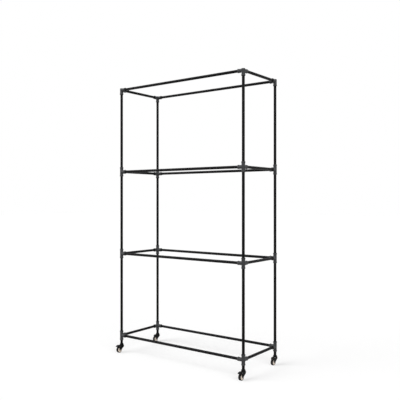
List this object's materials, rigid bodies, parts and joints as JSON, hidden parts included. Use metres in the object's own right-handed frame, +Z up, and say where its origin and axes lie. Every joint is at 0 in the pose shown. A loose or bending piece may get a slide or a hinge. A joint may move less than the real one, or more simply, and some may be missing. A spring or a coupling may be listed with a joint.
{
  "type": "exercise ball rack",
  "caption": "Tall open rack of black round tube with side-outlet fittings and swivel casters, storing exercise balls on open rail tiers; pedals brake the front casters.",
  "frame": {"origin": "on the floor, at the middle of the overall width and depth, casters and pedals included", "axes": "+Z up, +X along the front to the right as seen from the front, -Y towards the front"},
  "size_m": [1.2402, 0.5361, 2.2122],
  "materials": {
    "tube_black": "satin black powder coat on steel tube",
    "fitting_black": "slightly greyer satin black coat on cast fittings",
    "caster_black": "black coated pressed steel",
    "pedal_black": "matt black moulded plastic",
    "tyre_black": "matt black rubber",
    "hub_ivory": "ivory moulded plastic",
    "zinc": "bright zinc plate"
  },
  "bodies": {
    "rack_frame": {"post_front_left": "tube_black", "post_front_right": "tube_black", "post_back_right": "tube_black", "post_back_left": "tube_black", "rail_front_1": "tube_black", "rail_front_2": "tube_black", "rail_front_3": "tube_black", "rail_front_4": "tube_black", "rail_back_1": "tube_black", "rail_back_2": "tube_black", "rail_back_3": "tube_black", "rail_back_4": "tube_black", "rail_left_1": "tube_black", "rail_left_2": "tube_black", "rail_left_3": "tube_black", "rail_left_4": "tube_black", "rail_right_1": "tube_black", "rail_right_2": "tube_black", "rail_right_3": "tube_black", "rail_right_4": "tube_black", "fitting_front_left_1": "fitting_black", "fitting_front_left_2": "fitting_black", "fitting_front_left_3": "fitting_black", "fitting_front_left_4": "fitting_black", "fitting_front_right_1": "fitting_black", "fitting_front_right_2": "fitting_black", "fitting_front_right_3": "fitting_black", "fitting_front_right_4": "fitting_black", "fitting_back_right_1": "fitting_black", "fitting_back_right_2": "fitting_black", "fitting_back_right_3": "fitting_black", "fitting_back_right_4": "fitting_black", "fitting_back_left_1": "fitting_black", "fitting_back_left_2": "fitting_black", "fitting_back_left_3": "fitting_black", "fitting_back_left_4": "fitting_black", "caster_stem_front_left": "caster_black", "caster_stem_front_right": "caster_black", "caster_stem_back_right": "caster_black", "caster_stem_back_left": "caster_black"},
    "fork_front_left": {"caster_fork_front_left": "caster_black", "caster_axle_front_left": "zinc", "brake_pin_front_left": "zinc"},
    "wheel_front_left": {"wheel_hub_front_left": "hub_ivory", "tyre_front_left": "tyre_black"},
    "pedal_front_left": {"brake_pedal_front_left": "pedal_black"},
    "fork_front_right": {"caster_fork_front_right": "caster_black", "caster_axle_front_right": "zinc", "brake_pin_front_right": "zinc"},
    "wheel_front_right": {"wheel_hub_front_right": "hub_ivory", "tyre_front_right": "tyre_black"},
    "pedal_front_right": {"brake_pedal_front_right": "pedal_black"},
    "fork_back_right": {"caster_fork_back_right": "caster_black", "caster_axle_back_right": "zinc"},
    "wheel_back_right": {"wheel_hub_back_right": "hub_ivory", "tyre_back_right": "tyre_black"},
    "fork_back_left": {"caster_fork_back_left": "caster_black", "caster_axle_back_left": "zinc"},
    "wheel_back_left": {"wheel_hub_back_left": "hub_ivory", "tyre_back_left": "tyre_black"}
  },
  "joints": [
    {"name": "swivel_front_left", "type": "hinge", "parent": "rack_frame", "child": "fork_front_left", "pos_m": [-0.604, -0.2047, 0.06], "axis": [0, 0, 1], "continuous": true},
    {"name": "wheel_spin_front_left", "type": "hinge", "parent": "fork_front_left", "child": "wheel_front_left", "pos_m": [-0.604, -0.2337, 0.025], "axis": [1, 0, 0], "continuous": true},
    {"name": "brake_front_left", "type": "hinge", "parent": "fork_front_left", "child": "pedal_front_left", "pos_m": [-0.604, -0.2387, 0.0552], "axis": [1, 0, 0], "range_deg": [0, 11]},
    {"name": "swivel_front_right", "type": "hinge", "parent": "rack_frame", "child": "fork_front_right", "pos_m": [0.604, -0.2047, 0.06], "axis": [0, 0, 1], "continuous": true},
    {"name": "wheel_spin_front_right", "type": "hinge", "parent": "fork_front_right", "child": "wheel_front_right", "pos_m": [0.604, -0.2337, 0.025], "axis": [1, 0, 0], "continuous": true},
    {"name": "brake_front_right", "type": "hinge", "parent": "fork_front_right", "child": "pedal_front_right", "pos_m": [0.604, -0.2387, 0.0552], "axis": [1, 0, 0], "range_deg": [0, 11]},
    {"name": "swivel_back_right", "type": "hinge", "parent": "rack_frame", "child": "fork_back_right", "pos_m": [0.604, 0.2523, 0.06], "axis": [0, 0, 1], "continuous": true},
    {"name": "wheel_spin_back_right", "type": "hinge", "parent": "fork_back_right", "child": "wheel_back_right", "pos_m": [0.604, 0.2233, 0.025], "axis": [1, 0, 0], "continuous": true},
    {"name": "swivel_back_left", "type": "hinge", "parent": "rack_frame", "child": "fork_back_left", "pos_m": [-0.604, 0.2523, 0.06], "axis": [0, 0, 1], "continuous": true},
    {"name": "wheel_spin_back_left", "type": "hinge", "parent": "fork_back_left", "child": "wheel_back_left", "pos_m": [-0.604, 0.2233, 0.025], "axis": [1, 0, 0], "continuous": true}
  ]
}
